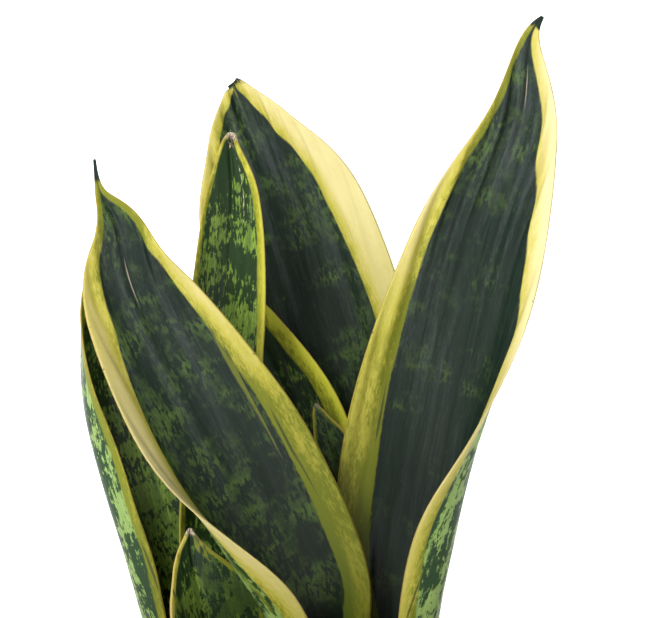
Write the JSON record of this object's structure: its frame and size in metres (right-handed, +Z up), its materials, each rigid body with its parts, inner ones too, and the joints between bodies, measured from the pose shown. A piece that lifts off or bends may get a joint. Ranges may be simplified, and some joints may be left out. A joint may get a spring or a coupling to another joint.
{
  "type": "potted snake plant",
  "caption": "Snake plant with broad, dark green, gold-edged leaves in a rosette and a smaller side shoot, growing in a plain tapered clay pot.",
  "frame": {"origin": "centre of the pot's flat underside", "axes": "+Z up along the pot's axis; the plant's front looks along -Y, and +X is to the right when seen from the front"},
  "size_m": [0.2015, 0.16, 0.4135],
  "materials": {
    "clay": "matte",
    "mix": "rough",
    "root": "matte",
    "leaf_dark": "satin",
    "leaf_mottled": "satin"
  },
  "bodies": {
    "root": {"pot": "clay", "potting_mix": "mix", "rootstock": "root", "leaf_front_left": "leaf_dark", "leaf_right_tall": "leaf_dark", "leaf_back": "leaf_dark", "leaf_left_short": "leaf_mottled", "leaf_young": "leaf_mottled", "leaf_side_upright": "leaf_mottled", "leaf_side_left": "leaf_mottled", "leaf_side_front": "leaf_mottled"}
  },
  "joints": []
}
